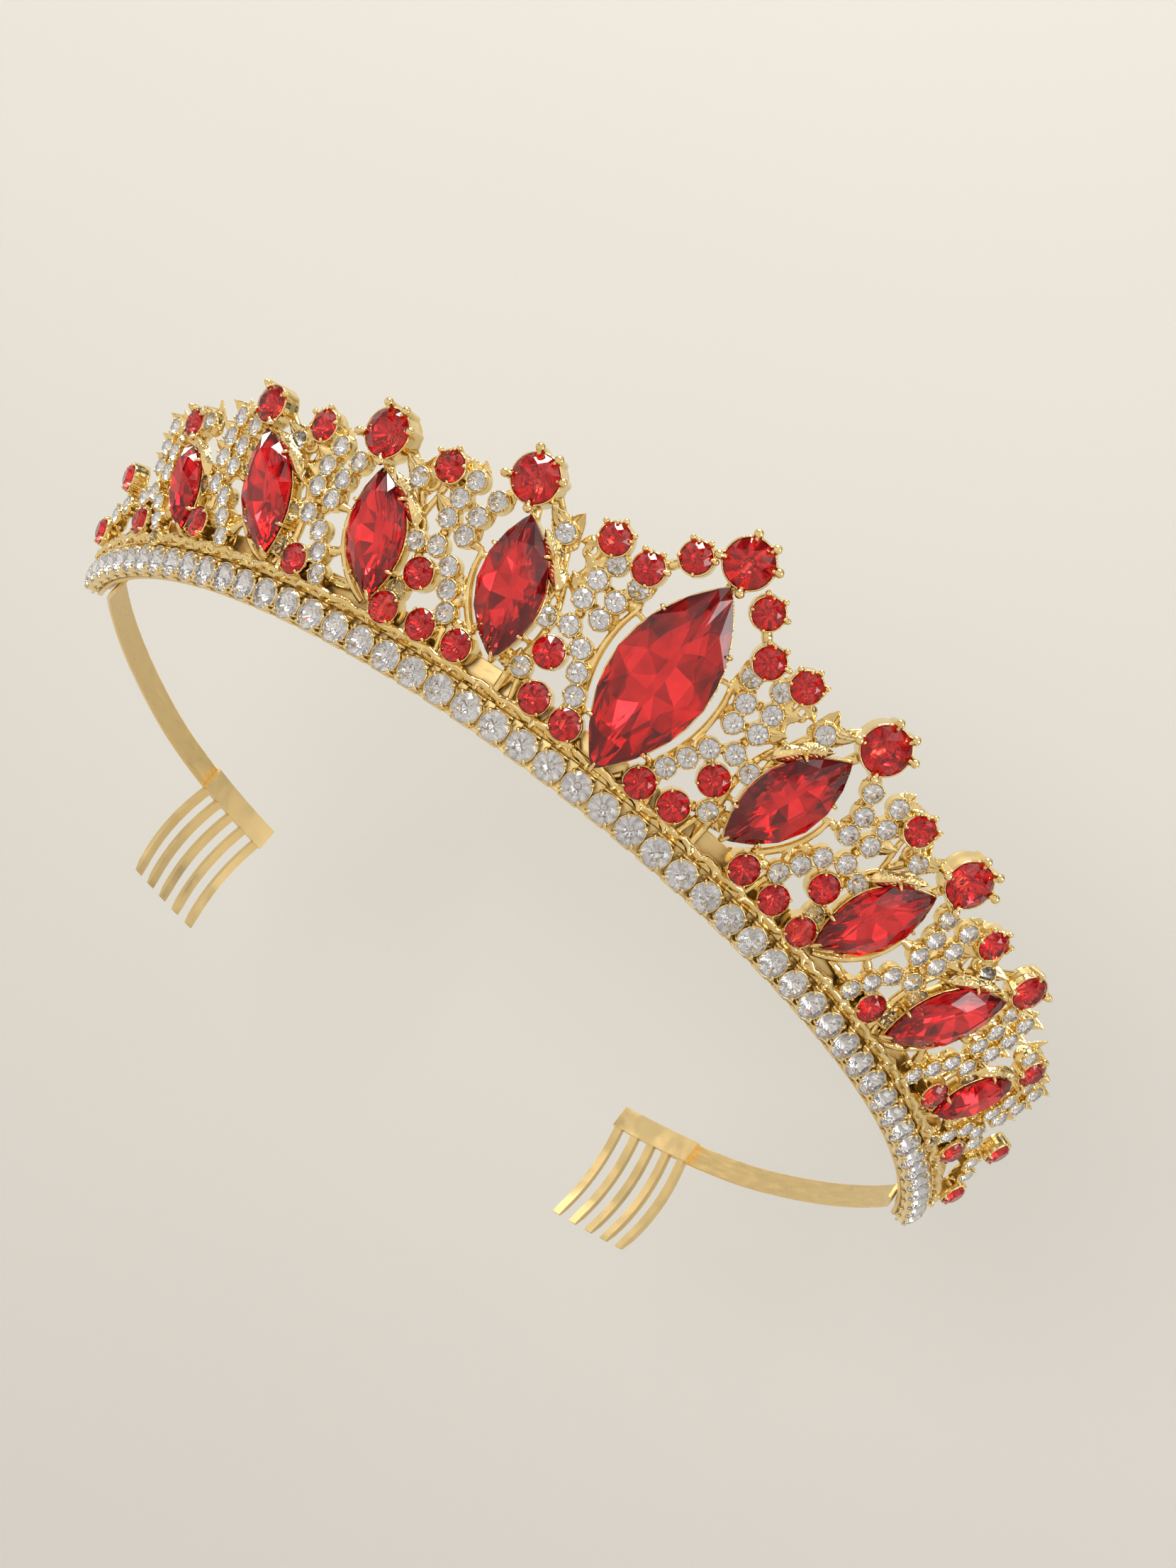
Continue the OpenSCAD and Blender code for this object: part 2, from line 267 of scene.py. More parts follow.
def leaf(builder, seat, angle, length, width, height, z=0.0, veins=0, curl=0.0, start=0.0):
    """A pointed leaf with a raised midrib; angle turns its tip from up towards x."""
    c, s = math.cos(angle), math.sin(angle)

    def place(u, v, w):
        return seat.at(v * c + u * s, u * c - v * s, z + w + curl * (u / length) ** 2)

    rings = []
    for i in range(9):
        t = 0.02 + 0.96 * i / 8
        half = width / 2 * math.sin(math.pi * t ** 0.75) ** 0.9 + 0.05
        rise = height * math.sin(math.pi * (0.15 + 0.8 * t))
        u = start + t * length
        rings.append([place(u, -half, 0), place(u, -half * 0.5, rise * 0.62), place(u, 0, rise),
                      place(u, half * 0.5, rise * 0.62), place(u, half, 0), place(u, 0, -0.35 * height)])
    loft(builder, rings)
    tube(builder, [place(start + length * f, 0, height * 0.95 * math.sin(math.pi * (0.15 + 0.8 * f)))
                   for f in (0.05, 0.4, 0.75, 1.0)], [0.2, 0.18, 0.14, 0.08])
    for k in range(veins):
        f = 0.18 + 0.6 * k / max(1, veins)
        h = height * math.sin(math.pi * (0.15 + 0.8 * f))
        for side in (-1, 1):
            tube(builder, [place(start + length * f, 0, h * 0.95),
                           place(start + length * (f + 0.16), side * width * 0.3, h * 0.72)],
                 [0.13, 0.07], n=6)


# ---------------------------------------------------------------- materials

def principled(name, color, **sockets):
    m = bpy.data.materials.new(name)
    m.use_nodes = True
    node = m.node_tree.nodes["Principled BSDF"]
    node.inputs["Base Color"].default_value = (*color, 1)
    for key, value in sockets.items():
        node.inputs[key.replace("_", " ").title().replace("Ior", "IOR")].default_value = value
    return m, node


def gold(name, light, dark, roughness, bump, scale, grain=None):
    """Gold plating whose tone and gloss wander a little, with a fine cast or brushed surface."""
    m, shader = principled(name, light, metallic=1.0, roughness=roughness)
    tree = m.node_tree
    where = tree.nodes.new("ShaderNodeTexCoord")
    stretch = tree.nodes.new("ShaderNodeMapping")
    stretch.inputs["Scale"].default_value = grain or (1, 1, 1)
    tone = tree.nodes.new("ShaderNodeTexNoise")
    tone.inputs["Scale"].default_value = scale * 0.25
    tone.inputs["Detail"].default_value = 3
    mix = tree.nodes.new("ShaderNodeMix")
    mix.data_type = "RGBA"
    mix.inputs[6].default_value = (*dark, 1)
    mix.inputs[7].default_value = (*light, 1)
    ramp = tree.nodes.new("ShaderNodeMapRange")
    ramp.inputs["From Min"].default_value = 0.35
    ramp.inputs["From Max"].default_value = 0.65
    ramp.inputs["To Min"].default_value = roughness * 0.7
    ramp.inputs["To Max"].default_value = roughness * 1.4
    fine = tree.nodes.new("ShaderNodeTexNoise")
    fine.inputs["Scale"].default_value = scale
    fine.inputs["Detail"].default_value = 4
    relief = tree.nodes.new("ShaderNodeBump")
    relief.inputs["Strength"].default_value = bump
    relief.inputs["Distance"].default_value = 0.0001
    link = tree.links.new
    link(where.outputs["Object"], stretch.inputs["Vector"])
    link(stretch.outputs["Vector"], tone.inputs["Vector"])
    link(stretch.outputs["Vector"], fine.inputs["Vector"])
    link(tone.outputs["Fac"], mix.inputs[0])
    link(mix.outputs[2], shader.inputs["Base Color"])
    link(tone.outputs["Fac"], ramp.inputs["Value"])
    link(ramp.outputs["Result"], shader.inputs["Roughness"])
    link(fine.outputs["Fac"], relief.inputs["Height"])
    link(relief.outputs["Normal"], shader.inputs["Normal"])
    return m


def foil(name, light, dark, roughness, metallic):
    """The mirror foil behind a stone, with painted light and shade: each facet is painted brighter or
    darker, and mottled at random within it.
    """
    m, shader = principled(name, light, metallic=metallic, roughness=roughness)
    tree = m.node_tree
    where = tree.nodes.new("ShaderNodeTexCoord")
    # Painted light and shade: the per-facet value sets how bright or dark each facet of the foil is painted,
    # with random mottling added
    facet_shade = tree.nodes.new("ShaderNodeAttribute")
    facet_shade.attribute_name = "tone"
    cloud = tree.nodes.new("ShaderNodeTexNoise")
    cloud.inputs["Scale"].default_value = 380
    spread = tree.nodes.new("ShaderNodeMapRange")
    spread.inputs["From Min"].default_value = 0.35
    spread.inputs["From Max"].default_value = 0.65
    spread.inputs["To Min"].default_value = -0.12
    spread.inputs["To Max"].default_value = 0.12
    total = tree.nodes.new("ShaderNodeMath")
    total.operation = "ADD"
    total.use_clamp = True
    mix = tree.nodes.new("ShaderNodeMix")
    mix.data_type = "RGBA"
    mix.inputs[6].default_value = (*dark, 1)
    mix.inputs[7].default_value = (*light, 1)
    link = tree.links.new
    link(where.outputs["Object"], cloud.inputs["Vector"])
    link(cloud.outputs["Fac"], spread.inputs["Value"])
    link(facet_shade.outputs["Fac"], total.inputs[0])
    link(spread.outputs["Result"], total.inputs[1])
    link(total.outputs[0], mix.inputs[0])
    link(mix.outputs[2], shader.inputs["Base Color"])
    return m


def glass(name, color):
    return principled(name, color, roughness=0.0, ior=1.56, transmission_weight=1.0)[0]


CAST = gold("cast_gold", (0.93, 0.75, 0.39), (0.66, 0.46, 0.16), 0.09, 0.35, 1400)
CHAIN_GOLD = gold("chain_gold", (0.92, 0.77, 0.46), (0.66, 0.49, 0.22), 0.11, 0.3, 1200)
STRIP = gold("strip_gold", (0.74, 0.57, 0.28), (0.66, 0.49, 0.22), 0.38, 0.2, 900, (1, 1, 6))
COMB = gold("comb_gold", (0.76, 0.59, 0.30), (0.68, 0.51, 0.24), 0.4, 0.12, 900)
RED_GLASS = glass("red_glass", (1.0, 0.08, 0.12))
# The red foil's light colour is its painted highlight and its dark colour its painted shade
RED_FOIL = foil("red_foil", (1.0, 0.28, 0.24), (0.38, 0.003, 0.018), 0.05, 0.85)
CLEAR_GLASS = glass("clear_glass", (0.99, 0.99, 1.0))
# The clear foil's light colour is its painted highlight and its dark colour its painted shade
CLEAR_FOIL = foil("clear_foil", (1.0, 1.0, 1.0), (0.62, 0.62, 0.65), 0.03, 0.76)


# ---------------------------------------------------------------- stones

def brilliant(builder, seat, outline, crown, pavilion, shade_contrast=0.5):
    """A brilliant cut on any outline. outline(angle, scale) gives x, y. crown holds (scale, z) of the table,
    the crown break and the girdle, pavilion those of the rings down to the culet. The crown takes slot 0
    and the foiled pavilion, whose facets carry painted light and shade, slot 1."""
    def ring(level, offset, count):
        scale, z = level
        return [(*outline(TURN * (i + offset) / count, scale), z) for i in range(count)]

    table, kites, girdle = ring(crown[0], 0.5, 8), ring(crown[1], 0, 8), ring(crown[2], 0, 16)
    rings = [ring(level, 0.5 * (k % 2), 16) for k, level in enumerate(pavilion)]
    points = table + kites + girdle
    for r in rings:
        points += r
    T, C, G, P = 0, 8, 16, 32
    faces = [tuple(range(T, T + 8))]
    for i in range(8):
        j, g, nxt = (i - 1) % 8, 2 * i, (i + 1) % 8
        faces += [(T + j, T + i, C + i), (T + i, C + i, G + g + 1, C + nxt),
                  (C + i, G + (g - 1) % 16, G + g), (C + i, G + g, G + g + 1)]
    faces += [(G + g, G + (g + 1) % 16, P + (g + 1) % 16, P + g) for g in range(16)]
    crown_count = len(faces)
    tones = [0.5] * crown_count
    for k in range(len(rings) - 1):
        low, high = P + 16 * k, P + 16 * (k + 1)
        for g in range(16):
            side = (g + 1) % 16
            over = side if k % 2 else g
            under_edge = g if k % 2 else side
            faces += [(low + g, low + side, high + over), (high + g, high + side, low + under_edge)]
            # Painted light and shade: every other facet is painted lighter and the rest darker, with a
            # random spread, for the bright and dark facets of a lit cut stone
            darkest_shade = 0.5 - shade_contrast * 0.5
            tones += [darkest_shade + shade_contrast * (g % 2) * 0.4 + shade_contrast * 0.6 * random.random(),
                      darkest_shade + shade_contrast * ((g + k) % 2) * 0.5 + shade_contrast * 0.5 * random.random()]
    last = P + 16 * (len(rings) - 1)
    faces.append(tuple(range(last, last + 16)))
    tones.append(0.5)
    builder.add(seat.all(points), faces, 0, tones)
    builder.slots[len(builder.slots) - len(faces) + crown_count:] = [1] * (len(faces) - crown_count)


def round_stone(builder, seat, d):
    def outline(angle, scale):
        return scale * d / 2 * math.cos(angle), scale * d / 2 * math.sin(angle)
    brilliant(builder, seat, outline, [(0.54, 0.185 * d), (0.79, 0.115 * d), (1.0, 0.02 * d)],
              [(1.0, -0.02 * d), (0.36, -0.29 * d), (0.03, -0.39 * d)], 1.0)


def navette_stone(builder, seat, length, width):
    def outline(angle, scale):
        c, s = math.cos(angle), math.sin(angle)
        return scale * width / 2 * c * abs(c) ** 0.85, (0.35 + 0.65 * scale) * length / 2 * s
    brilliant(builder, seat, outline, [(0.46, 1.95), (0.76, 1.35), (1.0, 0.25)],
              [(1.0, -0.25), (0.5, -1.35), (0.1, -2.1)], 1.0)


def stones(name, nodes, materials, slot):
    """One piece with the faceted stones of some CAD nodes."""
    builder = Builder()
    for node in nodes:
        for seat in stone_seats(node):
            turned = Seat(seat.o, seat.y * math.cos(0.2) + seat.x * math.sin(0.2), seat.z)
            round_stone(builder, turned, seat.size)
    finish_piece(builder.make(name, materials), slot, *nodes)


def finish_piece(piece, slot, *nodes):
    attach(piece, "root")
    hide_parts(*nodes)


# ---------------------------------------------------------------- castings

def melted(builder, name, material, voxel=VOXEL, smooth=3):
    """Fuses overlapping forms into one skin and rounds it, as polished casting is."""
    piece = builder.make(name, [material], smooth=True)
    remesh = piece.modifiers.new("fuse", "REMESH")
    remesh.mode = "VOXEL"
    remesh.voxel_size = voxel * MM
    remesh.use_smooth_shade = True
    soften = piece.modifiers.new("soften", "SMOOTH")
    soften.iterations = smooth
    soften.factor = 0.5
    shape = bpy.data.meshes.new_from_object(piece.evaluated_get(bpy.context.evaluated_depsgraph_get()))
    piece.modifiers.clear()
    old = piece.data
    piece.data = shape
    bpy.data.meshes.remove(old)
    return piece


def floor_z(d):
    """Height of a cup's floor below the girdle of a stone of diameter d."""
    return -0.4 * d - 0.05


def cup(builder, seat, d, wall=0.36, rim=0.1, prongs=4, tip=0.24, turn=0.4):
    """A stone cup: a floor, a wall up to the girdle and small prongs over the stone's edge."""
    r, low = d / 2, floor_z(d)
    lathe(builder, seat, [(r - 0.06, low - 0.1), (r + wall * 0.8, low - 0.1), (r + wall, (low + rim) / 2),
                          (r + wall * 0.75, rim - 0.05), (r + wall * 0.4, rim), (r + 0.02, rim - 0.08),
                          (r - 0.02, low * 0.5)])
    lathe(builder, seat, [(0.05, low - PLATE), (r + wall * 0.6, low - PLATE), (r + wall, low - PLATE / 2),
                          (r + wall * 0.8, low), (0.05, low)])
    for k in range(prongs):
        a = turn + TURN * k / prongs
        c, s = math.cos(a), math.sin(a)
        reach = r + wall * 0.55
        tube(builder, [seat.at(reach * c, reach * s, low), seat.at(reach * c, reach * s, rim + 0.05),
                       seat.at((r - 0.06) * c, (r - 0.06) * s, 0.11 * d)], [tip, tip, tip * 0.8])
        ball(builder, seat.at((r - 0.02) * c, (r - 0.02) * s, 0.09 * d), tip)


def claw_cup(builder, seat, d, angles, splay=0.75, ball_r=0.78):
    """A crest stone's cup: a bezel with claws that splay outward and end in balls."""
    cup(builder, seat, d, wall=0.42, prongs=0)
    r = d / 2
    for a in angles:
        c, s = math.cos(a), math.sin(a)
        tube(builder, [seat.at((r + 0.1) * c, (r + 0.1) * s, floor_z(d)),
                       seat.at((r + 0.45) * c, (r + 0.45) * s, -0.3),
                       seat.at((r + splay) * c, (r + splay) * s, 0.6)], [0.85, 0.75, 0.62])
        ball(builder, seat.at((r + splay) * c, (r + splay) * s, 0.7), ball_r)
        tube(builder, [seat.at((r + 0.5) * c, (r + 0.5) * s, 0.0),
                       seat.at((r - 0.3) * c, (r - 0.3) * s, 0.13 * d)], [0.45, 0.28])


def under(seat, d, x=0.0, y=0.0):
    """A point in the middle of the plate below a stone's cup."""
    return seat.at(x, y, floor_z(d) - PLATE / 2)


def beside(seat, t, gap, side, z=-2.6):
    """A point beside a navette: t from -1 at its bottom tip to 1, gap outward from its edge."""
    length, width = seat.size
    return seat.at(side * (width / 2 * (1 - t * t) + gap), t * (length / 2 + gap * 0.6), z)


def angle_height(p):
    """Angle round the band in degrees and height, of a point."""
    return math.degrees(math.atan2(p[0], -p[1])), p[2]


# ---------------------------------------------------------------- the tiara's layout, from the CAD

def on_side(seats, side):
    sign = -1 if side == "left" else 1
    return [s for s in seats if s.o[0] * sign > 1.0]


def by_angle(seats):
    return sorted(seats, key=lambda s: abs(angle_height(s.o)[0]))


CREST_ALL = by_angle(stone_seats("crest_stones"))
CENTRE = navette_seat("centre_navette")
CREST = {side: [CREST_ALL[0]] + by_angle(on_side(CREST_ALL, side)) for side in SIDES}
NAVETTE = {side: [CENTRE] + [navette_seat(f"navette_{side}_{k}") for k in NAVETTES] for side in SIDES}
CHAIN = by_angle(stone_seats("chain_stones"))
FLARE = math.atan2(-CHAIN[0].z[2], np.hypot(CHAIN[0].z[0], CHAIN[0].z[1]))
BAND_R = np.hypot(CHAIN[0].o[0], CHAIN[0].o[1])

# The clear stones of one spray: their part in it, degrees from its stem and height up the wall.
PATTERN = (("arc", -4, 9.6), ("arc", -3, 12.6), ("arc", -2.1, 15.6), ("inner", -2, 20.5),
           ("inner", -2.3, 23.7), ("inner", -3.2, 27), ("outer", 0.2, 21.6), ("outer", 0, 24.9),
           ("outer", -0.6, 28.2), ("rose", -0.1, 17.4), ("side", 2, 16.6), ("low", 1.5, 9),
           ("cup", 4.4, 26))

# The leaves by those stones: the parts that have them, then lean, length, width, height, start and curl.
LEAVES = (
    (("outer",), ((0.95, 5.6, 3.7, 0.6, -1.2, 3.2), (0.2, 4.2, 3.0, 0.5, -0.8, 1.4))),
    (("inner",), ((-0.55, 4.4, 3.4, 0.6, -1.0, 2.2),)),
    (("side", "low"), ((1.9, 4.6, 3.4, 0.6, -1.0, 2.2),)),
    (("cup",), ((1.05, 7.6, 4.4, 0.6, -2.8, 3.0), (-0.2, 4.4, 3.0, 0.6, -0.4, 1.8))),
)


def wall_point(degrees, height, out=0.0):
    """A point of the front wall, at an angle round the band and a height up it."""
    a = math.radians(degrees)
    r = BAND_R + height * math.sin(FLARE) + out * math.cos(FLARE)
    return np.array([r * math.sin(a), -r * math.cos(a), height * math.cos(FLARE) - out * math.sin(FLARE)])


def roles(seats):
    """Pairs each clear stone of a spray with its part in the pattern."""
    mm_per_degree = 1.6
    places = []
    for seat in seats:
        degrees, height = angle_height(seat.o)
        places.append((abs(degrees) * mm_per_degree, height / math.cos(FLARE)))
    places = np.array(places)
    wanted = np.array([(a * mm_per_degree, h) for _, a, h in PATTERN[:len(seats)]])
    shift = places.mean(0) - wanted.mean(0)
    out = {}
    free = set(range(len(seats)))
    for i, (role, _, _) in enumerate(PATTERN[:len(seats)]):
        near = min(free, key=lambda k: np.linalg.norm(places[k] - wanted[i] - shift))
        free.discard(near)
        out.setdefault(role, []).append(seats[near])
    return out


def reds_of(side, j):
    """The small red stones that spray j holds, with the kind of each."""
    edges = [0] + [abs(angle_height(NAVETTE[side][k].o)[0]) - 1.6 for k in NAVETTES]
    edges += [68, 90]
    found = []
    for node in (f"low_stones_{side}", "valley_stones", "arch_stones"):
        for seat in on_side(stone_seats(node), side):
            if edges[j] < abs(angle_height(seat.o)[0]) < edges[j + 1]:
                found.append((node.split("_")[0], seat))
    return found


def spanning(points, limit):
    """Index pairs that join points nearest first, none longer than limit."""
    group = list(range(len(points)))
    pairs = sorted((np.linalg.norm(points[i] - points[j]), i, j)
                   for i in range(len(points)) for j in range(i))
    links = []
    for gap, i, j in pairs:
        if gap < limit and group[i] != group[j]:
            old, new = group[i], group[j]
            group = [new if g == old else g for g in group]
            links.append((i, j))
    return links


def scroll(builder, seat, x, y, z, size, start, turns, r=0.42):
    """A small volute that curls in from its outer end."""
    points = []
    for i in range(10):
        t = i / 9
        a = start + turns * TURN * t
        reach = size * (1 - 0.75 * t)
        points.append(seat.at(x + reach * math.cos(a), y + reach * math.sin(a), z + 0.25 * t))
    tube(builder, points, [r, r * 0.8], steps=3)
    ball(builder, points[-1], r * 1.25)


def spray_cups(b, clears, reds):
    """The cups of a spray's clear and red stones; arch and valley stones have three ball claws."""
    for seat in clears:
        cup(b, seat, seat.size, turn=random.uniform(0, 1.5))
    for kind, seat in reds:
        if kind == "low":
            cup(b, seat, seat.size, wall=0.3, rim=0.05, turn=0.8, tip=0.28)
            continue
        cup(b, seat, seat.size, wall=0.42, turn=0.4, tip=0.3)
        for a in ((0.35, 1.3, 2.3) if kind == "arch" else (0.7, 1.55, 2.6)):
            r = seat.size / 2 + 0.6
            c, s = math.cos(a) * r, math.sin(a) * r
            tube(b, [seat.at(c * 0.8, s * 0.8, -1.0), seat.at(c, s, 0.1)], [0.65, 0.5])
            ball(b, seat.at(c, s, 0.15), 0.52)


def spray_leaves(b, part, way):
    """The leaves round a spray's clear stones."""
    for names, shapes in LEAVES:
        for seat in [s for name in names for s in part.get(name, [])]:
            for lean, length, width, height, start, curl in shapes:
                leaf(b, seat, way * lean, length, width, height, z=-1.9, start=start, curl=curl)


def edge_wires(b, side, j, way):
    """Wires along the edges of the navettes on both sides of a spray; returns points to link to."""
    ends = [NAVETTE[side][j]] + ([NAVETTE[side][j + 1]] if j < 4 else [])
    joints = []
    for navette, edge in zip(ends, (1, -1)):
        gap = 1.75 if edge > 0 else 1.55
        run = [beside(navette, t, gap, way * edge) for t in (-0.93, -0.75, -0.5, -0.2, 0.1, 0.35)]
        tube(b, run, [0.55, 0.7, 0.7, 0.6, 0.5])
        joints += run[1::2]
        for t in (-0.62, 0.3):
            foot = beside(navette, t, -0.4, way * edge, -2.7)
            tube(b, [foot, beside(navette, t, gap, way * edge)], 0.5)
    return joints


def web(b, joints):
    """Links between near joints: thin at the joints, where stones sit, and thick between them."""
    links = spanning(joints, 7.5)
    links += [(i, k) for i in range(len(joints)) for k in range(i)
              if np.linalg.norm(joints[i] - joints[k]) < 4.4 and (i, k) not in links]
    for i, k in links:
        middle = (joints[i] + joints[k]) / 2 + np.array([random.uniform(-0.35, 0.35) for _ in range(3)])
        tube(b, [joints[i], middle, joints[k]], [0.42, 0.9, 0.42], steps=3)


def stand_on_rail(b, part, reds):
    """Pairs of short legs from the lowest cups down to the rail."""
    clear = [("clear", seat) for seat in part.get("arc", [])[:1] + part.get("low", [])]
    for kind, seat in reds + clear:
        degrees, height = angle_height(seat.o)
        if kind in ("low", "clear") and height < 9.5:
            for lean in (-0.9, 0.9):
                tube(b, [under(seat, seat.size), wall_point(degrees + lean, 3.1, -0.6)], [0.6, 0.5])


def spray(side, j):
    """The cast openwork between two navettes: scrolls, leaf cups and small red cups."""
    way = -1 if side == "left" else 1
    b = Builder()
    clears = stone_seats(f"crystals_{side}_{j}")
    reds = reds_of(side, j)
    part = roles(clears) if j < TAIL else {}
    spray_cups(b, clears, reds)
    spray_leaves(b, part, way)
    joints = [under(seat, seat.size) for seat in clears + [seat for _, seat in reds]]
    if j < TAIL:
        joints += edge_wires(b, side, j, way)
    web(b, joints)
    stand_on_rail(b, part, reds)
    if j < 4:
        decorate_shoulder(b, side, j, way, part, reds)
    else:
        tube(b, [under(s, s.size) for s in by_angle(clears + [s for _, s in reds])], 0.5)
    finish_piece(melted(b, f"casting_{side}_{j}", CAST), "cast_gold", f"spray_{side}_{j}")


def decorate_shoulder(b, side, j, way, part, reds):
    """Veined leaves over the next navette's edge, the branch to its crest, and small volutes."""
    navette, crest = NAVETTE[side][j + 1], CREST[side][j + 1]
    for t, lean, size in ((0.08, 0.25, 5.6), (0.36, 0.55, 6.2)):
        foot = beside(navette, t, 1.3, -way, 0.0)
        seat = Seat(foot, navette.y, navette.z)
        leaf(b, seat, way * lean, size, 2.9, 0.95, z=-0.8, veins=5, curl=1.2)
        tube(b, [seat.at(0, 0, -0.8), beside(navette, t - 0.1, 1.55, -way)], 0.45)
    for seat in part.get("cup", []):
        tube(b, [under(seat, seat.size), under(crest, crest.size, -way * crest.size * 0.42)], 0.55)
    root = Seat(navette.at(-way * 3.0, 0.7 - navette.size[0] / 2, -1.0), navette.y, navette.z)
    degrees, _ = angle_height(root.o)
    tube(b, [root.at(0, 0, -0.9), wall_point(degrees, 3.2, -0.5)], [0.7, 0.6])
    for lean, size in ((0.9, 2.6), (-0.3, 2.2), (1.9, 2.4), (2.9, 2.2)):
        leaf(b, root, way * lean, size, 1.6, 0.6, z=-0.9, curl=0.7, veins=2)
    stem = under(part["rose"][0], 2.9)
    for kind, seat in reds:
        if kind == "valley":
            tube(b, [stem, under(part["side"][0], 2.9, way * 1.5, 2.0),
                     under(seat, seat.size, way * 0.3, -3.4), under(seat, seat.size)], [0.6, 0.5])
            scroll(b, seat, way * 2.4, -3.4, -1.7, 1.5, 1.2, way * 0.9)
            leaf(b, seat, way * 2.2, 3.0, 1.9, 0.7, z=-1.5, start=2.3)
    low = part["low"][0]
    scroll(b, low, way * 2.6, 0.4, -1.1, 1.3, 2.4, -way * 0.9)


def vesica(seat, grow, z, n=14):
    """Outline of a navette, grown outward by some mm, as points."""
    length, width = seat.size
    ring = []
    for i in range(2 * n):
        a = TURN * i / (2 * n)
        c, s = math.cos(a), math.sin(a)
        ring.append(seat.at(c * abs(c) ** 0.85 * (width / 2 + grow) + 0.25 * grow * c,
                            s * (length / 2 + grow * 1.3), z))
    return ring


def setting(name, side, k, node):
    """The cup behind a navette, with its claws, neck and crest cup."""
    b = Builder()
    navette, crest = NAVETTE[side][k], CREST[side][k]
    loft(b, [vesica(navette, -0.5, -2.95), vesica(navette, -0.3, -2.6), vesica(navette, -0.5, -2.25)])
    profile = ((-0.35, -2.6), (-0.25, -0.45), (0.1, -0.4), (0.05, -2.6))
    wall = [vesica(navette, grow, z) for grow, z in profile]
    n = len(wall[0])
    faces = []
    for r in range(4):
        row, above = n * r, n * ((r + 1) % 4)
        faces += [(i + row, (i + 1) % n + row, (i + 1) % n + above, i + above) for i in range(n)]
    b.add(sum(wall, []), faces)
    for t in (-0.62, 0.5):
        for edge in (-1, 1):
            tube(b, [beside(navette, t, 0.35, edge, -2.6), beside(navette, t, 0.4, edge, 0.1),
                     beside(navette, t, -0.3, edge, 0.65)], [0.42, 0.36, 0.22])
    tip = navette.at(0, -navette.size[0] / 2 - 0.3, -0.4)
    tube(b, [navette.at(0, -navette.size[0] / 2 + 0.6, -2.6), tip,
             navette.at(0, -navette.size[0] / 2 + 1.0, 0.75)], [0.5, 0.45, 0.25])
    tube(b, [navette.at(0, navette.size[0] / 2 - 1.5, -2.6), navette.at(0, navette.size[0] / 2 + 0.5, -1.6),
             under(crest, crest.size)], [0.8, 0.9, 1.1])
    if crest.size > 6:
        claws = [math.pi / 2 + TURN * i / 4 + 0.35 for i in range(4)] + [math.pi / 2 - 0.45]
        claw_cup(b, crest, crest.size, claws)
    else:
        claw_cup(b, crest, crest.size, [math.pi / 2 + TURN * i / 4 + 0.6 for i in range(4)], 0.75, 0.45)
    finish_piece(melted(b, name, CAST), "cast_gold", node)


def rail_piece():
    """The casting's wavy lower rail, with solder drips down to the chain."""
    b = Builder()
    degrees = np.linspace(-79.5, 79.5, 220)
    path = [wall_point(a, 3.35 + 0.22 * math.sin(a * 1.9) + 0.15 * math.sin(a * 4.3 + 1),
                       -0.35 + 0.15 * math.sin(a * 3.1)) for a in degrees]
    tube(b, path, [0.72] * 2, n=8, steps=1)
    tube(b, [wall_point(a, 2.6, -0.75) for a in degrees], 0.55, n=8, steps=1)
    for a in np.arange(-78, 78.1, 3.1):
        wobble = random.uniform(-0.6, 0.6)
        tube(b, [wall_point(a + wobble, 3.3, -0.2), wall_point(a, 2.3, 0.5)], [0.55, 0.35])
        if random.random() < 0.5:
            ball(b, wall_point(a + 1.4, 3.5, 0.25), random.uniform(0.35, 0.6))
    finish_piece(melted(b, "cast_rail", CAST, voxel=0.17), "cast_gold", "rail")


def chain():
    """Cup chain: thin-walled cups with corner prongs, linked side by side."""
    b = Builder()
    for seat in CHAIN:
        d = seat.size
        r, low = d / 2, floor_z(d)
        lathe(b, seat, [(r - 0.02, low), (r - 0.02, -0.02), (r + 0.1, 0.08), (r + 0.2, -0.05),
                        (r + 0.22, low), (r * 0.5, low - 0.1)], n=24)
        for k in range(4):
            a = math.pi / 4 + k * math.pi / 2
            c, s = math.cos(a), math.sin(a)
            tube(b, [seat.at((r + 0.28) * c, (r + 0.28) * s, low),
                     seat.at((r + 0.24) * c, (r + 0.24) * s, 0.1),
                     seat.at((r - 0.22) * c, (r - 0.22) * s, 0.42)], [0.34, 0.3, 0.2], n=8, steps=3)
            ball(b, seat.at((r - 0.2) * c, (r - 0.2) * s, 0.4), 0.22)
        for edge in (-1, 1):
            tube(b, [seat.at(-1.6, edge * (r + 0.1), low * 0.6), seat.at(1.6, edge * (r + 0.1), low * 0.6)],
                 0.28, n=8)
    finish_piece(b.make("chain_settings", [CHAIN_GOLD], smooth=True), "cast_gold", "chain_cups")


def softened(node, material, slot, width, segments=3):
    """A strip or comb as the CAD has it, with its sharp edges rolled over."""
    piece = bpy.data.objects.new(node + "_soft", frame["nodes"][node].data.copy())
    bpy.context.scene.collection.objects.link(piece)
    bm = bmesh.new()
    bm.from_mesh(piece.data)
    bmesh.ops.remove_doubles(bm, verts=bm.verts, dist=1e-6)
    bmesh.ops.dissolve_limit(bm, angle_limit=math.radians(0.3), verts=bm.verts, edges=bm.edges)
    for face in bm.faces:
        face.smooth = True
    bm.to_mesh(piece.data)
    bm.free()
    piece.data.materials.clear()
    piece.data.materials.append(material)
    bevel = piece.modifiers.new("edges", "BEVEL")
    bevel.width = width * MM
    bevel.segments = segments
    bevel.limit_method = "ANGLE"
    bevel.angle_limit = math.radians(40)
    level = piece.modifiers.new("level", "WEIGHTED_NORMAL")
    level.keep_sharp = True
    shape = bpy.data.meshes.new_from_object(piece.evaluated_get(bpy.context.evaluated_depsgraph_get()))
    piece.modifiers.clear()
    piece.data = shape
    finish_piece(piece, slot, node)


# ---------------------------------------------------------------- the tiara

